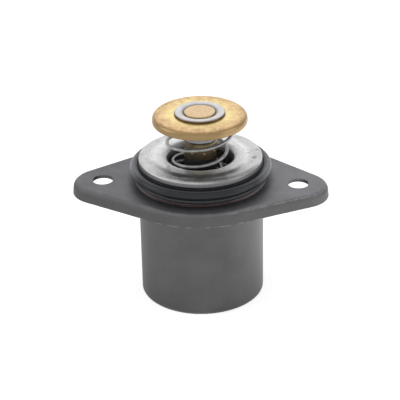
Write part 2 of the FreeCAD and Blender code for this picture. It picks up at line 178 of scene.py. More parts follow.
phosphate, tree, place = new_finish("phosphated_steel")
across, height = [add(tree, "ShaderNodeSeparateXYZ", {"Vector": place}, pick=side) for side in "XZ"]
reach = from_axis(tree, place)
crystal = add(tree, "ShaderNodeTexNoise", {"Vector": place, "Scale": per_metre(0.625), "Detail": 2.0})
cloud = add(tree, "ShaderNodeTexNoise", {
    "Vector": place, "Scale": per_metre(7.692), "Detail": 5.0, "Roughness": 0.55})
blotches = add(tree, "ShaderNodeMix", {"Factor": 0.65, "A": crystal, "B": cloud})
# Painted light: the flange is painted lighter towards the right.
painted_side_light = add(tree, "ShaderNodeMapRange", {
    "Value": across, "From Min": -SIDE_LIGHT_REACH, "From Max": SIDE_LIGHT_REACH,
    "To Min": 0.35, "To Max": 0.65})
tone = add(tree, "ShaderNodeMix", {"Factor": 0.5, "A": painted_side_light, "B": blotches})
# Painted light: the top is painted paler than the skirt.
top_skin = add(tree, "ShaderNodeValToRGB", {"Fac": tone}, stops=[
    (0.36, linear("#757579")), (0.64, linear("#929296"))])
shaded_skirt_skin = add(tree, "ShaderNodeValToRGB", {"Fac": tone}, stops=[
    (0.36, linear("#676768")), (0.64, linear("#727273"))])
on_top = add(tree, "ShaderNodeMapRange", {
    "Value": height, "From Min": TOP_BEND_HEIGHTS[0], "From Max": TOP_BEND_HEIGHTS[1]})
skin = add(tree, "ShaderNodeMix", {"Factor": on_top, "A": shaded_skirt_skin, "B": top_skin}, data_type="RGBA")
dashes = add(tree, "ShaderNodeTexNoise", {"Vector": place, "Scale": per_metre(3.03), "Detail": 3.0})
on_foot = add(tree, "ShaderNodeMapRange", {
    "Value": height, "From Min": SKIRT_FOOT_HEIGHTS[0], "From Max": SKIRT_FOOT_HEIGHTS[1],
    "To Min": 1.0, "To Max": 0.0})
foot_dash = add(tree, "ShaderNodeMapRange", {
    "Value": dashes, "From Min": 0.47, "From Max": 0.56, "To Max": 0.75})
foot_rub = add(tree, "ShaderNodeMath", {0: foot_dash, 1: on_foot}, operation="MULTIPLY")
# The dashes on the right-hand bend are worn spots with a painted glint.
on_line = add(tree, "ShaderNodeMath", {0: height, 1: DASH_HEIGHT, 2: DASH_HALF_WIDTH}, operation="COMPARE")
on_right = add(tree, "ShaderNodeMapRange", {
    "Value": across, "From Min": DASHED_FROM[0], "From Max": DASHED_FROM[1]})
bend_glint_dash = add(tree, "ShaderNodeMapRange", {
    "Value": dashes, "From Min": 0.5, "From Max": 0.58, "To Max": 0.6})
bend_wear_and_glint = add(tree, "ShaderNodeMath", {0: bend_glint_dash, 1: on_line}, operation="MULTIPLY")
bend_wear_and_glint = add(tree, "ShaderNodeMath", {0: bend_wear_and_glint, 1: on_right}, operation="MULTIPLY")
rub = add(tree, "ShaderNodeMath", {0: foot_rub, 1: bend_wear_and_glint}, operation="MAXIMUM")
# Painted shade: a dark ring on the flange round the seal's foot.
painted_seal_shade = add(tree, "ShaderNodeMapRange", {
    "Value": reach, "From Min": SEAL_SHADE_RADII[0], "From Max": SEAL_SHADE_RADII[1], "To Min": 0.5, "To Max": 0.0})
skin = add(tree, "ShaderNodeMix", {"Factor": painted_seal_shade, "A": skin, "B": linear("#303033")}, data_type="RGBA")
colour = add(tree, "ShaderNodeMix", {"Factor": rub, "A": skin, "B": linear("#a2a2a1")}, data_type="RGBA")
dullness = add(tree, "ShaderNodeMapRange", {"Value": rub, "To Min": 0.56, "To Max": 0.3})
relief = add(tree, "ShaderNodeBump", {"Strength": 0.15, "Distance": 0.00006, "Height": blotches})
surface = add(tree, "ShaderNodeBsdfPrincipled", {
    "Base Color": colour, "Metallic": 1.0, "Roughness": dullness, "Normal": relief})
add(tree, "ShaderNodeOutputMaterial", {"Surface": surface})
dress("mounting_flange", phosphate)


# Backing ring: pressed fibre, reddish brown, laid on the flange under the rubber.
# Its edge carries a painted highlight towards both sides.

SIDE_HIGHLIGHT_FROM = (0.014, 0.024)

fibre, tree, place = new_finish("pressed_fibre")
across = add(tree, "ShaderNodeSeparateXYZ", {"Vector": place}, pick="X")
to_side = add(tree, "ShaderNodeMath", {0: across}, operation="ABSOLUTE")
grain = add(tree, "ShaderNodeTexNoise", {"Vector": place, "Scale": per_metre(1.111), "Detail": 4.0})
skin = add(tree, "ShaderNodeValToRGB", {"Fac": grain}, stops=[
    (0.35, linear("#46383b")), (0.65, linear("#5e4a4e"))])
# Painted highlight on the ring's edge towards both sides.
painted_side_highlight = add(tree, "ShaderNodeMapRange", {
    "Value": to_side, "From Min": SIDE_HIGHLIGHT_FROM[0], "From Max": SIDE_HIGHLIGHT_FROM[1], "To Max": 0.5})
colour = add(tree, "ShaderNodeMix", {"Factor": painted_side_highlight, "A": skin, "B": linear("#9c9492")},
             data_type="RGBA")
relief = add(tree, "ShaderNodeBump", {"Strength": 0.3, "Distance": 0.0001, "Height": grain})
surface = add(tree, "ShaderNodeBsdfPrincipled", {"Base Color": colour, "Roughness": 0.32, "Normal": relief})
add(tree, "ShaderNodeOutputMaterial", {"Surface": surface})
dress("backing_ring", fibre)


# Rubber pieces: the moulded seal ring round the sleeve, the boot in the element and the valve's flat seal.
# Moulded black nitrile has an even soft sheen. The seal's lip is paler, a painted highlight lies along the
# crest of its bead and a painted sheen on the bead's outside at its left and right, and the bead's inner side
# is painted black as shade.

SEAL_FOOT, SEAL_TOP = heights("seal_ring")
LIP_TOP_HEIGHTS = (SEAL_FOOT + 0.0016, SEAL_FOOT + 0.0020)
BEAD_SIDE_HEIGHTS = (SEAL_FOOT + 0.0026, SEAL_FOOT + 0.0042)
BEAD_CREST_HEIGHTS = (SEAL_TOP - 0.00085, SEAL_TOP - 0.00015)
BEAD_RADII = (SEAL_RADIUS - 0.0040, SEAL_RADIUS)
BEAD_OUTSIDE_RADII = (SEAL_RADIUS - 0.0024, SEAL_RADIUS - 0.0017)
SIDE_SHEEN_FROM = (SEAL_RADIUS - 0.0060, SEAL_RADIUS)

nitrile, tree, place = new_finish("moulded_nitrile_rubber")
across, height = [add(tree, "ShaderNodeSeparateXYZ", {"Vector": place}, pick=side) for side in "XZ"]
to_side = add(tree, "ShaderNodeMath", {0: across}, operation="ABSOLUTE")
reach = from_axis(tree, place)
dust = add(tree, "ShaderNodeTexNoise", {"Vector": place, "Scale": per_metre(3.846), "Detail": 5.0})
clean = add(tree, "ShaderNodeValToRGB", {"Fac": dust}, stops=[
    (0.35, linear("#13171d")), (0.7, linear("#1a1f26"))])
# The seal's lip is paler.
paler_lip = add(tree, "ShaderNodeMapRange", {
    "Value": height, "From Min": LIP_TOP_HEIGHTS[0], "From Max": LIP_TOP_HEIGHTS[1],
    "To Min": 0.8, "To Max": 0.0})
colour = add(tree, "ShaderNodeMix", {"Factor": paler_lip, "A": clean, "B": linear("#45484c")},
             data_type="RGBA")
# Painted shade and highlight: the bead's inner side is painted black, and its crest a light line.
over_bead = add(tree, "ShaderNodeMapRange", {
    "Value": reach, "From Min": BEAD_RADII[0], "From Max": BEAD_RADII[1]})
crest_highlight_and_groove_shade = add(tree, "ShaderNodeValToRGB", {"Fac": over_bead}, stops=[
    (0.3, linear("#07080a")), (0.46, linear("#4c5056")), (0.54, linear("#4c5056")), (0.7, linear("#171b21"))])
on_crest = add(tree, "ShaderNodeMapRange", {
    "Value": height, "From Min": BEAD_CREST_HEIGHTS[0], "From Max": BEAD_CREST_HEIGHTS[1]})
colour = add(tree, "ShaderNodeMix", {"Factor": on_crest, "A": colour, "B": crest_highlight_and_groove_shade}, data_type="RGBA")
# Painted sheen: the bead's outside is paler at its left and right.
painted_side_sheen = add(tree, "ShaderNodeMapRange", {
    "Value": to_side, "From Min": SIDE_SHEEN_FROM[0], "From Max": SIDE_SHEEN_FROM[1], "To Max": 0.85})
outside = add(tree, "ShaderNodeMapRange", {
    "Value": reach, "From Min": BEAD_OUTSIDE_RADII[0], "From Max": BEAD_OUTSIDE_RADII[1]})
raised = add(tree, "ShaderNodeMapRange", {
    "Value": height, "From Min": BEAD_SIDE_HEIGHTS[0], "From Max": BEAD_SIDE_HEIGHTS[1]})
painted_side_sheen = add(tree, "ShaderNodeMath", {0: painted_side_sheen, 1: outside}, operation="MULTIPLY")
painted_side_sheen = add(tree, "ShaderNodeMath", {0: painted_side_sheen, 1: raised}, operation="MULTIPLY")
colour = add(tree, "ShaderNodeMix", {"Factor": painted_side_sheen, "A": colour, "B": linear("#85888e")},
             data_type="RGBA")
dullness = add(tree, "ShaderNodeMapRange", {
    "Value": dust, "From Min": 0.3, "From Max": 0.7, "To Min": 0.28, "To Max": 0.4})
relief = add(tree, "ShaderNodeBump", {"Strength": 0.08, "Distance": 0.0001, "Height": dust})
surface = add(tree, "ShaderNodeBsdfPrincipled", {
    "Base Color": colour, "Roughness": dullness, "Specular IOR Level": 0.5, "Normal": relief})
add(tree, "ShaderNodeOutputMaterial", {"Surface": surface})
for node in ("seal_ring", "piston_boot", "valve_seal"):
    dress(node, nitrile)


# Cover plate: stainless cap pressed over the sleeve's neck, brushed in rings on a turntable, then handled.
# Its crown is painted brighter than its falling edge as light, and its drawn-down hole and its side are dull,
# the side painted a darker grey as shade. Painted shade lies in front at the crown's foot and on the outer
# bend, and a few stains sit near the right-hand edge.

COVER_TOP = heights("cover_plate")[1]
COVER_RADIUS = radius_of("cover_plate")
CROWN_FALL_RADII = (0.0195, 0.0225)
CROWN_FOOT_RADII = (0.0190, 0.0240)
OUTER_BEND_RADII = (COVER_RADIUS - 0.0021, COVER_RADIUS - 0.0011)
DULL_HOLE_RADII = (0.0141, 0.0200)
SIDE_TOP_HEIGHTS = (COVER_TOP - 0.0014, COVER_TOP - 0.0010)
SHADED_FRONT = (-0.006, -0.014)
SHADED_RIGHT = (0.003, 0.010)
STAINED_RIGHT = (0.0185, 0.0215)
ARCS_PER_RADIAN = 5.0
BANDS_PER_RADIAN = 3.0


def grey(level):
    """Ramp colour of one linear level, for a ramp that drives a share or a strength."""
    return (level, level, level, 1.0)


brushed_stainless, tree, place = new_finish("ring_brushed_stainless")
across, along, height = [add(tree, "ShaderNodeSeparateXYZ", {"Vector": place}, pick=side)
                         for side in "XYZ"]
reach = from_axis(tree, place)
bearing = add(tree, "ShaderNodeMath", {0: along, 1: across}, operation="ARCTAN2")
unrolled = add(tree, "ShaderNodeCombineXYZ", {"X": reach, "Y": bearing})
# Real brush marks are finer than a picture shows, so these arcs lie a third of a millimetre apart.
stretched = add(tree, "ShaderNodeMapping", {
    "Vector": unrolled, "Scale": (per_metre(1 / 3), ARCS_PER_RADIAN, 1.0)})
arcs = add(tree, "ShaderNodeTexNoise", {"Vector": stretched, "Scale": 1.0, "Detail": 3.0})
wide = add(tree, "ShaderNodeMapping", {
    "Vector": unrolled, "Scale": (per_metre(2.381), BANDS_PER_RADIAN, 1.0)})
bands = add(tree, "ShaderNodeTexNoise", {"Vector": wide, "Scale": 1.0, "Detail": 4.0})
handling = add(tree, "ShaderNodeTexNoise", {
    "Vector": place, "Scale": per_metre(3.846), "Detail": 6.0, "Roughness": 0.65})
streaks = add(tree, "ShaderNodeMix", {"Factor": 0.45, "A": arcs, "B": bands})
streaks = add(tree, "ShaderNodeMix", {"Factor": 0.35, "A": streaks, "B": handling})
# Painted light: the crown is painted brighter than the falling edge.
lit_crown_skin = add(tree, "ShaderNodeValToRGB", {"Fac": streaks}, stops=[
    (0.35, linear("#c8c9ca")), (0.62, linear("#fcfcfd"))])
shaded_fall_skin = add(tree, "ShaderNodeValToRGB", {"Fac": streaks}, stops=[
    (0.35, linear("#adaeaf")), (0.62, linear("#e0e0e1"))])
past_crown = add(tree, "ShaderNodeMapRange", {
    "Value": reach, "From Min": CROWN_FALL_RADII[0], "From Max": CROWN_FALL_RADII[1]})
top_skin = add(tree, "ShaderNodeMix", {"Factor": past_crown, "A": lit_crown_skin, "B": shaded_fall_skin},
               data_type="RGBA")
# Painted shade in front, at the crown's foot and on the right of the outer bend.
over_foot = add(tree, "ShaderNodeMapRange", {
    "Value": reach, "From Min": CROWN_FOOT_RADII[0], "From Max": CROWN_FOOT_RADII[1]})
crown_foot = add(tree, "ShaderNodeValToRGB", {"Fac": over_foot}, stops=[
    (0.05, grey(0.0)), (0.35, grey(1.0)), (0.5, grey(1.0)), (0.75, grey(0.0))])
on_bend = add(tree, "ShaderNodeMapRange", {
    "Value": reach, "From Min": OUTER_BEND_RADII[0], "From Max": OUTER_BEND_RADII[1], "To Max": 1.2})
to_right = add(tree, "ShaderNodeMapRange", {
    "Value": across, "From Min": SHADED_RIGHT[0], "From Max": SHADED_RIGHT[1]})
right_bend = add(tree, "ShaderNodeMath", {0: on_bend, 1: to_right}, operation="MULTIPLY")
painted_shade_bands = add(tree, "ShaderNodeMath", {0: crown_foot, 1: right_bend}, operation="MAXIMUM")
to_front = add(tree, "ShaderNodeMapRange", {
    "Value": along, "From Min": SHADED_FRONT[0], "From Max": SHADED_FRONT[1], "To Max": 0.5})
shade_and_stains = add(tree, "ShaderNodeMath", {0: painted_shade_bands, 1: to_front}, operation="MULTIPLY")
spots = add(tree, "ShaderNodeTexNoise", {"Vector": place, "Scale": per_metre(2.381), "Detail": 3.0})
spots = add(tree, "ShaderNodeMapRange", {
    "Value": spots, "From Min": 0.61, "From Max": 0.65, "To Max": 0.7})
right_edge = add(tree, "ShaderNodeMapRange", {
    "Value": across, "From Min": STAINED_RIGHT[0], "From Max": STAINED_RIGHT[1]})
stains = add(tree, "ShaderNodeMath", {0: spots, 1: right_edge}, operation="MULTIPLY")
shade_and_stains = add(tree, "ShaderNodeMath", {0: shade_and_stains, 1: stains}, operation="MAXIMUM")
# Painted shade and real stains share one dark grey.
top_skin = add(tree, "ShaderNodeMix", {"Factor": shade_and_stains, "A": top_skin, "B": linear("#58585a")},
               data_type="RGBA")
on_top = add(tree, "ShaderNodeMapRange", {
    "Value": height, "From Min": SIDE_TOP_HEIGHTS[0], "From Max": SIDE_TOP_HEIGHTS[1]})
# Painted shade: the side is painted a darker grey than the top.
colour = add(tree, "ShaderNodeMix", {"Factor": on_top, "A": linear("#8c8c8e"), "B": top_skin},
             data_type="RGBA")
dullness = add(tree, "ShaderNodeMapRange", {
    "Value": streaks, "From Min": 0.3, "From Max": 0.7, "To Min": 0.22, "To Max": 0.38})
relief = add(tree, "ShaderNodeBump", {"Strength": 0.08, "Distance": 0.00005, "Height": streaks})
shine = add(tree, "ShaderNodeMapRange", {
    "Value": reach, "From Min": DULL_HOLE_RADII[0], "From Max": DULL_HOLE_RADII[1],
    "To Min": 0.35, "To Max": 1.0})
shine = add(tree, "ShaderNodeMix", {"Factor": on_top, "A": 0.25, "B": shine})
turning = add(tree, "ShaderNodeTangent", direction_type="RADIAL", axis="Z")
surface = add(tree, "ShaderNodeBsdfPrincipled", {
    "Base Color": colour, "Metallic": shine, "Roughness": dullness, "Anisotropic": 0.6,
    "Tangent": turning, "Normal": relief})
add(tree, "ShaderNodeOutputMaterial", {"Surface": surface})
dress("cover_plate", brushed_stainless)


# Inner steel pieces: seat ring, bridge, valve saucer and the bush over the element, pressed or turned from
# mild steel with a thin zinc coat. It is a pale, rather dull blue-grey with soft clouds, painted paler still
# to stand in for light bouncing in the housing.

zinc_plate, tree, place = new_finish("zinc_plated_steel")
cloud = add(tree, "ShaderNodeTexNoise", {"Vector": place, "Scale": per_metre(5), "Detail": 5.0})
colour = add(tree, "ShaderNodeValToRGB", {"Fac": cloud}, stops=[
    (0.35, linear("#b6b8be")), (0.65, linear("#cccfd4"))])
dullness = add(tree, "ShaderNodeMapRange", {
    "Value": cloud, "From Min": 0.3, "From Max": 0.7, "To Min": 0.3, "To Max": 0.42})
surface = add(tree, "ShaderNodeBsdfPrincipled", {
    "Base Color": colour, "Metallic": 0.3, "Roughness": dullness})
add(tree, "ShaderNodeOutputMaterial", {"Surface": surface})
for node in ("valve_seat_ring", "piston_bridge", "main_valve_disc", "stem_collar"):
    dress(node, zinc_plate)


# Piston, its backup washer and the split ring: hardened steel, ground bright. The grinding marks run across
# the length and are drawn 0.2 mm apart, coarser than they are.

ground_steel, tree, place = new_finish("ground_hardened_steel")
squeezed = add(tree, "ShaderNodeMapping", {"Vector": place, "Scale": (0.1, 0.1, 1.0)})
marks = add(tree, "ShaderNodeTexNoise", {"Vector": squeezed, "Scale": per_metre(0.2), "Detail": 2.0})
colour = add(tree, "ShaderNodeValToRGB", {"Fac": marks}, stops=[
    (0.35, linear("#b9babc")), (0.65, linear("#d2d3d4"))])
surface = add(tree, "ShaderNodeBsdfPrincipled", {"Base Color": colour, "Metallic": 1.0, "Roughness": 0.24})
add(tree, "ShaderNodeOutputMaterial", {"Surface": surface})
for node in ("piston", "backup_washer", "valve_lock_ring"):
    dress(node, ground_steel)


# Main spring and conical bypass spring: drawn spring wire, wound cold, with a thin dulling film from the
# drawing. The conical one widens from the element's crimp up to the brass disc and leans a little to the
# left. Each is one wire, made as a bevelled curve along its winding.

END_TURNS = 0.85
END_ROOM = 0.00015
STEPS_PER_TURN = 48

spring_wire, tree, place = new_finish("drawn_spring_wire")
film = add(tree, "ShaderNodeTexNoise", {"Vector": place, "Scale": per_metre(2.857), "Detail": 4.0})
colour = add(tree, "ShaderNodeValToRGB", {"Fac": film}, stops=[
    (0.35, linear("#9a9a99")), (0.65, linear("#bebebd"))])
dullness = add(tree, "ShaderNodeMapRange", {
    "Value": film, "From Min": 0.3, "From Max": 0.7, "To Min": 0.28, "To Max": 0.42})
surface = add(tree, "ShaderNodeBsdfPrincipled", {
    "Base Color": colour, "Metallic": 0.6, "Roughness": dullness})
add(tree, "ShaderNodeOutputMaterial", {"Surface": surface})


def wind(name, foot, top, foot_radius, top_radius, wire_radius, active_turns, phase=0.0, lean=0.0):
    """Round wire wound between two heights, with a flat turn at each end, as one closed mesh."""
    low = foot + END_ROOM + wire_radius
    high = top - END_ROOM - wire_radius
    total = active_turns + 2 * END_TURNS
    count = round(total * STEPS_PER_TURN)
    curve = bpy.data.curves.new(name, "CURVE")
    curve.dimensions = "3D"
    curve.bevel_depth = wire_radius
    curve.bevel_resolution = 5
    curve.use_fill_caps = True
    winding = curve.splines.new("POLY")
    winding.points.add(count)
    for step, point in enumerate(winding.points):
        turn = total * step / count
        share = min(max((turn - END_TURNS) / active_turns, 0), 1)
        radius = foot_radius + (top_radius - foot_radius) * share
        angle = math.radians(phase) + 2 * math.pi * turn
        point.co = (lean + radius * math.cos(angle), radius * math.sin(angle), low + (high - low) * share, 1)
    wire = bpy.data.objects.new(name, curve)
    bpy.context.collection.objects.link(wire)
    bpy.ops.object.select_all(action="DESELECT")
    wire.select_set(True)
    bpy.context.view_layer.objects.active = wire
    bpy.ops.object.convert(target="MESH")
    bpy.ops.object.shade_smooth_by_angle(angle=math.radians(40))
    wire.data.materials.clear()
    wire.data.materials.append(spring_wire)
    return wire


COVER_SHEET = 0.0012
SAUCER_SHEET = 0.0015
CROWN_UNDERSIDE = COVER_TOP - COVER_SHEET
SAUCER_TOP = heights("main_valve_disc")[0] + SAUCER_SHEET
MAIN_COIL_RADIUS = 0.0179
main_coil = wind("main_spring_coil", SAUCER_TOP, CROWN_UNDERSIDE, MAIN_COIL_RADIUS, MAIN_COIL_RADIUS,
                 wire_radius=0.0013, active_turns=2.5)
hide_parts("main_spring")
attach(main_coil, "housing")
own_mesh(main_coil)

DISC_SHEET = 0.0015
DISC_TOP = heights("bypass_disc")[1]
DISC_UNDERSIDE = DISC_TOP - DISC_SHEET
CRIMP_TOP = heights("guide_body")[1]
cone_coil = wind("bypass_spring_coil", CRIMP_TOP, DISC_UNDERSIDE, foot_radius=0.00921, top_radius=0.01622,
                 wire_radius=0.00075, active_turns=2.96, phase=-33, lean=-0.00083)
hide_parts("bypass_spring")
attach(cone_coil, "element")
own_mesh(cone_coil)


# Wax charge: cast hydrocarbon wax with metal powder in it, sealed in the cup round the rubber boot.
# The powder gives it a fine tan grain.

cast_wax, tree, place = new_finish("cast_wax")
grain = add(tree, "ShaderNodeTexNoise", {"Vector": place, "Scale": per_metre(0.8333), "Detail": 3.0})
colour = add(tree, "ShaderNodeValToRGB", {"Fac": grain}, stops=[
    (0.35, linear("#b08a5a")), (0.65, linear("#cba877"))])
surface = add(tree, "ShaderNodeBsdfPrincipled", {"Base Color": colour, "Roughness": 0.55})
add(tree, "ShaderNodeOutputMaterial", {"Surface": surface})
dress("wax_charge", cast_wax)


# Wax element: a drawn brass cup, closed end up, that has gone brown in hot coolant. The tarnish lies in
# clouds over the upper part, the lower part down in the hole is painted a bluish grey as shade, and the
# punched dimples carry a painted glint.

CUP_TOP = heights("element_cup")[1]
SHADOW_LINE_HEIGHTS = (CUP_TOP - 0.0083, CUP_TOP - 0.0076)
DIMPLE_RADII = (0.00695, 0.0068)
UNDER_TOP_BEND = CUP_TOP - 0.0030

tarnished_brass, tree, place = new_finish("tarnished_brass")
height = add(tree, "ShaderNodeSeparateXYZ", {"Vector": place}, pick="Z")
reach = from_axis(tree, place)
cloud = add(tree, "ShaderNodeTexNoise", {
    "Vector": place, "Scale": per_metre(5.556), "Detail": 5.0, "Roughness": 0.6})
tarnish = add(tree, "ShaderNodeValToRGB", {"Fac": cloud}, stops=[
    (0.35, linear("#5f584b")), (0.5, linear("#746850")), (0.68, linear("#93815b"))])
# Painted shade: below this line the cup is painted bluish grey.
above_shadow_line = add(tree, "ShaderNodeMapRange", {
    "Value": height, "From Min": SHADOW_LINE_HEIGHTS[0], "From Max": SHADOW_LINE_HEIGHTS[1]})
skin = add(tree, "ShaderNodeMix", {"Factor": above_shadow_line, "A": linear("#605e64"), "B": tarnish},
           data_type="RGBA")
# Painted glint: the dimples are painted bright brass.
sunk = add(tree, "ShaderNodeMapRange", {
    "Value": reach, "From Min": DIMPLE_RADII[0], "From Max": DIMPLE_RADII[1]})
in_wall = add(tree, "ShaderNodeMath", {0: height, 1: UNDER_TOP_BEND}, operation="LESS_THAN")
dimple_glint = add(tree, "ShaderNodeMath", {0: sunk, 1: in_wall}, operation="MULTIPLY")
colour = add(tree, "ShaderNodeMix", {"Factor": dimple_glint, "A": skin, "B": linear("#b88f5e")},
             data_type="RGBA")
dullness = add(tree, "ShaderNodeMapRange", {
    "Value": cloud, "From Min": 0.3, "From Max": 0.7, "To Min": 0.42, "To Max": 0.3})
surface = add(tree, "ShaderNodeBsdfPrincipled", {
    "Base Color": colour, "Metallic": 0.75, "Roughness": dullness})
add(tree, "ShaderNodeOutputMaterial", {"Surface": surface})
dress("element_cup", tarnished_brass)


# Guide body, bypass stem and bypass disc: brass, turned or pressed, cleaned to a pale satin yellow. Turning
# marks run round the axis. The disc's top is yellow round the ring and browner and speckled towards its
# edge, its outside is painted darker as shade and its underside grey. The stem's head is paler than the
# disc, and its rounded edge is painted darker as shade.

HEAD_TOP = heights("bypass_stem")[1]
DISC_RADIUS = radius_of("bypass_disc")
HEAD_RADII = (0.0070, 0.0069)
HEAD_EDGE_HEIGHTS = (HEAD_TOP - 0.0006, HEAD_TOP - 0.00005)
DISC_SPREAD_RADII = (0.0115, 0.0205)
DISC_RIM_RADII = (DISC_RADIUS - 0.0013, DISC_RADIUS - 0.0010)
DISC_WALL_HEIGHTS = (DISC_UNDERSIDE + 0.00015, DISC_UNDERSIDE + 0.00035)
DISC_EDGE_HEIGHTS = (DISC_TOP - 0.00065, DISC_TOP - 0.00002)
GUIDE_TOP_HEIGHTS = (CRIMP_TOP + 0.0031, CRIMP_TOP + 0.0021)

satin_brass, tree, place = new_finish("turned_satin_brass")
height = add(tree, "ShaderNodeSeparateXYZ", {"Vector": place}, pick="Z")
reach = from_axis(tree, place)
rings = add(tree, "ShaderNodeTexNoise", {"W": reach, "Scale": per_metre(0.3846), "Detail": 2.0},
            noise_dimensions="1D")
cloud = add(tree, "ShaderNodeTexNoise", {
    "Vector": place, "Scale": per_metre(2.632), "Detail": 6.0, "Roughness": 0.65})
patches = add(tree, "ShaderNodeMix", {"Factor": 0.9, "A": rings, "B": cloud})
spread = add(tree, "ShaderNodeMapRange", {
    "Value": reach, "From Min": DISC_SPREAD_RADII[0], "From Max": DISC_SPREAD_RADII[1],
    "To Min": -0.45, "To Max": 0.35})
tone = add(tree, "ShaderNodeMapRange", {"Value": patches, "From Min": 0.2, "From Max": 0.8})
tone = add(tree, "ShaderNodeMath", {0: tone, 1: spread}, operation="ADD")
skin = add(tree, "ShaderNodeValToRGB", {"Fac": tone}, stops=[
    (0.1, linear("#fae3a2")), (0.5, linear("#e0be8b")), (1.0, linear("#c3a074"))])
specks = add(tree, "ShaderNodeTexNoise", {"Vector": place, "Scale": per_metre(1.111), "Detail": 2.0})
crowd = add(tree, "ShaderNodeMix", {"Factor": 0.3, "A": specks, "B": tone})
speck = add(tree, "ShaderNodeMapRange", {
    "Value": crowd, "From Min": 0.6, "From Max": 0.7, "To Max": 0.75})
skin = add(tree, "ShaderNodeMix", {"Factor": speck, "A": skin, "B": linear("#8d6c45")}, data_type="RGBA")
head_skin = add(tree, "ShaderNodeValToRGB", {"Fac": specks}, stops=[
    (0.35, linear("#dabd92")), (0.65, linear("#e6cca4"))])
# Painted shade: the head's rounded edge is painted darker brown.
head_unshaded_top = add(tree, "ShaderNodeMapRange", {
    "Value": height, "From Min": HEAD_EDGE_HEIGHTS[0], "From Max": HEAD_EDGE_HEIGHTS[1]})
head_skin = add(tree, "ShaderNodeMix", {"Factor": head_unshaded_top, "A": linear("#94764c"), "B": head_skin},
                data_type="RGBA")
head = add(tree, "ShaderNodeMapRange", {
    "Value": reach, "From Min": HEAD_RADII[0], "From Max": HEAD_RADII[1]})
clean = add(tree, "ShaderNodeMix", {"Factor": head, "A": skin, "B": head_skin}, data_type="RGBA")
# Painted shade: the disc's outside is painted a darker brass.
on_rim = add(tree, "ShaderNodeMapRange", {
    "Value": reach, "From Min": DISC_RIM_RADII[0], "From Max": DISC_RIM_RADII[1]})
on_wall = add(tree, "ShaderNodeMapRange", {
    "Value": height, "From Min": DISC_WALL_HEIGHTS[0], "From Max": DISC_WALL_HEIGHTS[1]})
outside = add(tree, "ShaderNodeMath", {0: on_rim, 1: on_wall}, operation="MAXIMUM")
lower = add(tree, "ShaderNodeMix", {"Factor": outside, "A": linear("#55534f"), "B": linear("#ab8f67")},
            data_type="RGBA")
top_face = add(tree, "ShaderNodeMapRange", {
    "Value": height, "From Min": DISC_EDGE_HEIGHTS[0], "From Max": DISC_EDGE_HEIGHTS[1]})
upper = add(tree, "ShaderNodeMix", {"Factor": top_face, "A": lower, "B": clean}, data_type="RGBA")
on_guide = add(tree, "ShaderNodeMapRange", {
    "Value": height, "From Min": GUIDE_TOP_HEIGHTS[0], "From Max": GUIDE_TOP_HEIGHTS[1]})
colour = add(tree, "ShaderNodeMix", {"Factor": on_guide, "A": upper, "B": linear("#a98b5e")},
             data_type="RGBA")
dullness = add(tree, "ShaderNodeMapRange", {
    "Value": patches, "From Min": 0.3, "From Max": 0.7, "To Min": 0.3, "To Max": 0.42})
relief = add(tree, "ShaderNodeBump", {"Strength": 0.06, "Distance": 0.00005, "Height": rings})
surface = add(tree, "ShaderNodeBsdfPrincipled", {
    "Base Color": colour, "Metallic": 1.0, "Roughness": dullness, "Normal": relief})
add(tree, "ShaderNodeOutputMaterial", {"Surface": surface})
for node in ("guide_body", "bypass_stem", "bypass_disc"):
    dress(node, satin_brass)


# Retaining ring: a dished steel ring with a pale zinc coat, pressed on the stem's head over the disc.
# Painted shade darkens the dish's wall, brown at its foot, and the ring's outside, where it sits on the
# brass.

RING_TOP = heights("retaining_ring")[1]
RING_RADIUS = radius_of("retaining_ring")
DISH_WALL_HEIGHTS = (RING_TOP - 0.0007, RING_TOP - 0.0003)
RING_EDGE_RADII = (RING_RADIUS - 0.0009, RING_RADIUS - 0.0008)
RING_TOP_HEIGHTS = (RING_TOP - 0.0004, RING_TOP - 0.00005)

pale_zinc, tree, place = new_finish("pale_zinc_coat")
height = add(tree, "ShaderNodeSeparateXYZ", {"Vector": place}, pick="Z")
reach = from_axis(tree, place)
cloud = add(tree, "ShaderNodeTexNoise", {"Vector": place, "Scale": per_metre(3.333), "Detail": 4.0})
clean = add(tree, "ShaderNodeValToRGB", {"Fac": cloud}, stops=[
    (0.35, linear("#cfcecc")), (0.65, linear("#dddcdb"))])
# Painted shade: the dish's wall is grey, brown at its foot, and the ring's outside brown.
dish_wall = add(tree, "ShaderNodeMapRange", {
    "Value": height, "From Min": DISH_WALL_HEIGHTS[0], "From Max": DISH_WALL_HEIGHTS[1]})
dish_shade = add(tree, "ShaderNodeMix", {"Factor": dish_wall, "A": linear("#453a2e"), "B": linear("#9b9c9f")},
             data_type="RGBA")
outside = add(tree, "ShaderNodeMapRange", {
    "Value": reach, "From Min": RING_EDGE_RADII[0], "From Max": RING_EDGE_RADII[1]})
lower = add(tree, "ShaderNodeMix", {"Factor": outside, "A": dish_shade, "B": linear("#6d583d")},
            data_type="RGBA")
top_face = add(tree, "ShaderNodeMapRange", {
    "Value": height, "From Min": RING_TOP_HEIGHTS[0], "From Max": RING_TOP_HEIGHTS[1]})
colour = add(tree, "ShaderNodeMix", {"Factor": top_face, "A": lower, "B": clean}, data_type="RGBA")
surface = add(tree, "ShaderNodeBsdfPrincipled", {"Base Color": colour, "Metallic": 1.0, "Roughness": 0.36})
add(tree, "ShaderNodeOutputMaterial", {"Surface": surface})
dress("retaining_ring", pale_zinc)


# Studio: a white sheet under the part, a large soft box above and behind it, and a weaker one at each side.
# Sheet and sky show white to the camera, and the sheet keeps the part's shadow. In the metal the sheet is
# bright behind the part and dim in front of it, and the sky is dimmer overhead than in front and behind.

SHEET_SIZE = 4.0
SHEET_GLOW = 0.6
BEHIND = (0.9, 1.0, 0.0)
BEHIND_REACH = (-0.01, 0.09)
SKY_LIGHT = 0.5

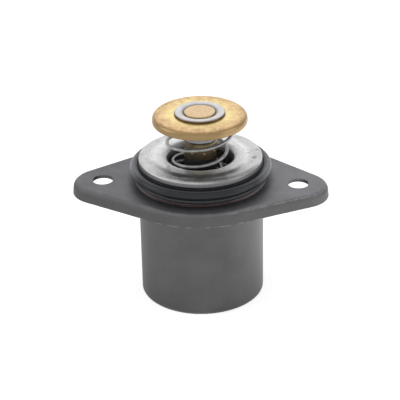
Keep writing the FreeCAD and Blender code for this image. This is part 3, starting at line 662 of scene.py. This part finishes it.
bpy.ops.object.select_all(action="DESELECT")
bpy.ops.mesh.primitive_plane_add(size=SHEET_SIZE, location=(0, 0, 0))
sheet = bpy.context.object
sheet.name = "studio_sheet"
white_sheet, tree, place = new_finish("white_studio_sheet")
grain = add(tree, "ShaderNodeTexNoise", {"Vector": place, "Scale": per_metre(33.33)})
colour = add(tree, "ShaderNodeValToRGB", {"Fac": grain}, stops=[
    (0.0, linear("#f6f6f6")), (1.0, linear("#fafafa"))])
lit = add(tree, "ShaderNodeBsdfDiffuse", {"Color": colour})
rays = add(tree, "ShaderNodeLightPath").node.outputs
backward = add(tree, "ShaderNodeVectorMath", {0: place, 1: BEHIND}, pick="Value", operation="DOT_PRODUCT")
mirrored = add(tree, "ShaderNodeMapRange", {
    "Value": backward, "From Min": BEHIND_REACH[0], "From Max": BEHIND_REACH[1],
    "To Min": 0.3, "To Max": 1.2})
in_metal = add(tree, "ShaderNodeMath", {0: rays["Is Glossy Ray"], 1: mirrored}, operation="MULTIPLY")
seen = add(tree, "ShaderNodeMath", {0: rays["Is Camera Ray"], 1: in_metal}, operation="MAXIMUM")
strength = add(tree, "ShaderNodeMath", {0: seen, 1: SHEET_GLOW}, operation="MULTIPLY")
glow = add(tree, "ShaderNodeEmission", {"Color": linear("#ffffff"), "Strength": strength})
lifted = add(tree, "ShaderNodeAddShader", {0: lit, 1: glow})
add(tree, "ShaderNodeOutputMaterial", {"Surface": lifted})
sheet.data.materials.append(white_sheet)

world = bpy.data.worlds.new("studio_sky")
bpy.context.scene.world = world
world.use_nodes = True
tree = world.node_tree
tree.nodes.clear()
rays = add(tree, "ShaderNodeLightPath").node.outputs
straight = add(tree, "ShaderNodeMath", {0: rays["Is Camera Ray"], 1: rays["Is Glossy Ray"]},
               operation="MAXIMUM")
straight = add(tree, "ShaderNodeMath", {0: straight, 1: rays["Is Transmission Ray"]}, operation="MAXIMUM")
direction = add(tree, "ShaderNodeTexCoord", pick="Generated")
towards = add(tree, "ShaderNodeSeparateXYZ", {"Vector": direction}, pick="Y")
around = add(tree, "ShaderNodeMapRange", {"Value": towards, "From Min": -1.0, "From Max": 1.0})
mirrored_tone = add(tree, "ShaderNodeValToRGB", {"Fac": around}, stops=[
    (0.05, grey(0.9)), (0.3, grey(0.55)), (0.72, grey(0.52)), (0.94, grey(1.0))])
seen_sky = add(tree, "ShaderNodeMix", {"Factor": rays["Is Glossy Ray"], "A": 1.0, "B": mirrored_tone})
strength = add(tree, "ShaderNodeMix", {"Factor": straight, "A": SKY_LIGHT, "B": seen_sky})
sky = add(tree, "ShaderNodeBackground", {"Color": linear("#ffffff"), "Strength": strength})
add(tree, "ShaderNodeOutputWorld", {"Surface": sky})


def soft_box(name, size, power, location, turn):
    """Square area lamp, turned in degrees round X, Y and Z."""
    bpy.ops.object.light_add(type="AREA", location=location, rotation=[math.radians(a) for a in turn])
    lamp = bpy.context.object
    lamp.name = name
    lamp.data.size = size
    lamp.data.energy = power


soft_box("top_soft_box", size=2.0, power=2.6, location=(-0.15, 0.25, 0.9), turn=(-15, -9, 0))
soft_box("left_soft_box", size=0.5, power=1.0, location=(-0.8, -0.1, 0.45), turn=(0, -62, 0))
soft_box("right_soft_box", size=0.5, power=1.0, location=(0.8, -0.1, 0.45), turn=(0, 62, 0))


# Camera: the photograph's viewpoint, found from the outlines of the sleeve, the flange and its holes.
# It stands in front of the part and above it, and looks down through a long lens.

lens = bpy.data.cameras.new("photo_camera")
lens.sensor_width = 36.0
lens.lens = 125.54
camera = bpy.data.objects.new("photo_camera", lens)
bpy.context.collection.objects.link(camera)
camera.location = (0.04502, -0.53562, 0.3246)
camera.rotation_euler = Euler([math.radians(a) for a in (62.2355, 0.9902, 4.3438)])
bpy.context.scene.camera = camera
bpy.context.scene.view_settings.view_transform = "Standard"
